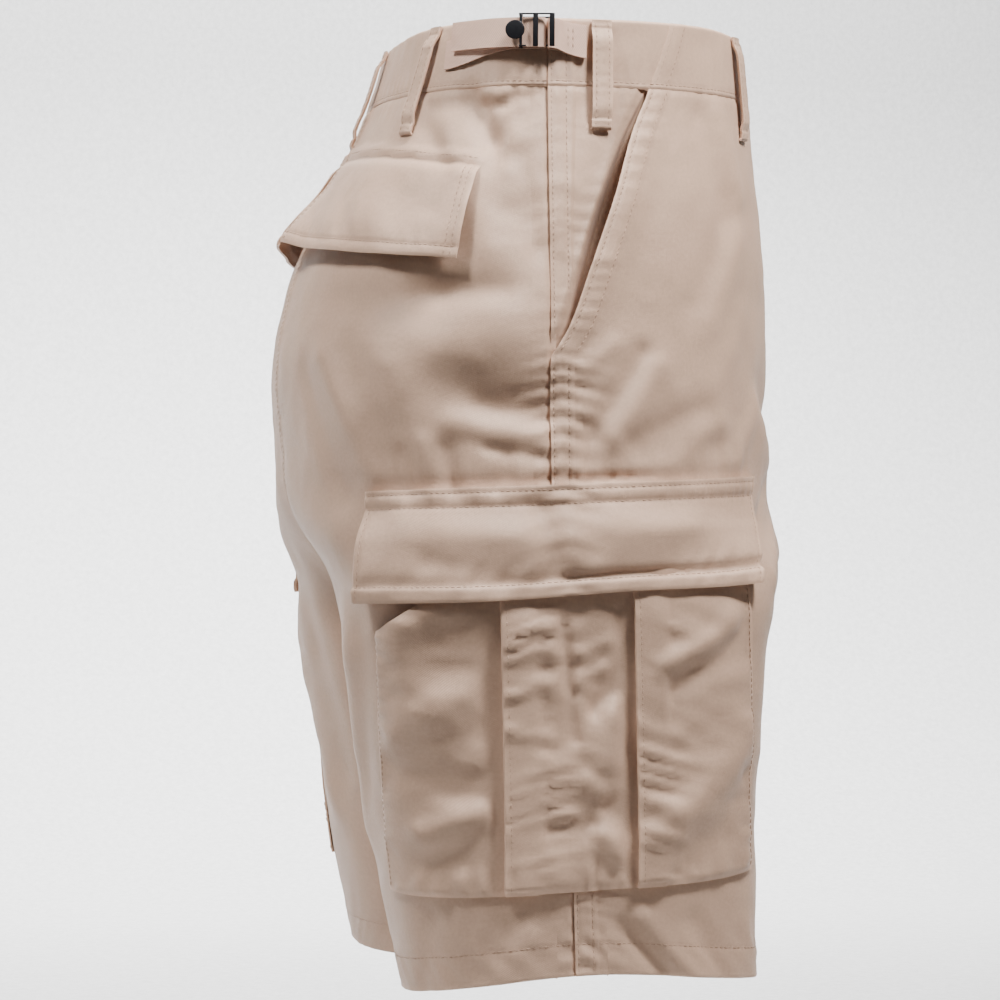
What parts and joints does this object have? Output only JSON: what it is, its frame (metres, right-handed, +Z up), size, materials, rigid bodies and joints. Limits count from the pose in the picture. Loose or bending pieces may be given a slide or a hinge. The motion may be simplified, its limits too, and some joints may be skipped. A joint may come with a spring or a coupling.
{
  "type": "cargo shorts",
  "caption": "Knee-length cotton twill cargo shorts, filled out as worn, with belt loops, side waist adjusters, slash pockets, flapped back pockets and pleated cargo pockets.",
  "frame": {"origin": "centre of the waist opening, at the top edge of the waistband, where the wearer's waist holds the shorts", "axes": "+Z up the body, -Y to the wearer's front, -X to the wearer's right"},
  "size_m": [0.377, 0.2981, 0.5438],
  "materials": {
    "twill": "khaki polyester and cotton twill with a slight sheen",
    "tape": "khaki woven tape with fine ribs",
    "buckle": "black, satin",
    "button": "khaki, satin"
  },
  "bodies": {
    "root": {"front_panel_right": "twill", "front_panel_left": "twill", "back_panel_right": "twill", "back_panel_left": "twill", "pocket_facing_right": "twill", "pocket_facing_left": "twill", "waistband_front_right": "twill", "waistband_front_left": "twill", "waistband_side_right": "twill", "waistband_side_left": "twill", "waistband_back_right": "twill", "waistband_back_left": "twill", "cargo_pocket_right": "twill", "cargo_pocket_left": "twill", "cargo_flap_right": "twill", "cargo_flap_left": "twill", "back_flap_right": "twill", "back_flap_left": "twill", "back_welt_right": "twill", "back_welt_left": "twill", "belt_loop_back_right": "twill", "belt_loop_back_left": "twill", "belt_loop_side_right": "twill", "belt_loop_side_left": "twill", "belt_loop_front_right": "twill", "belt_loop_front_left": "twill", "belt_loop_centre": "twill", "adjuster_tape_right": "tape", "adjuster_tape_left": "tape", "adjuster_tab_right": "tape", "adjuster_tab_left": "tape", "adjuster_buckle_right": "buckle", "adjuster_buckle_left": "buckle", "waist_button": "button"}
  },
  "joints": []
}
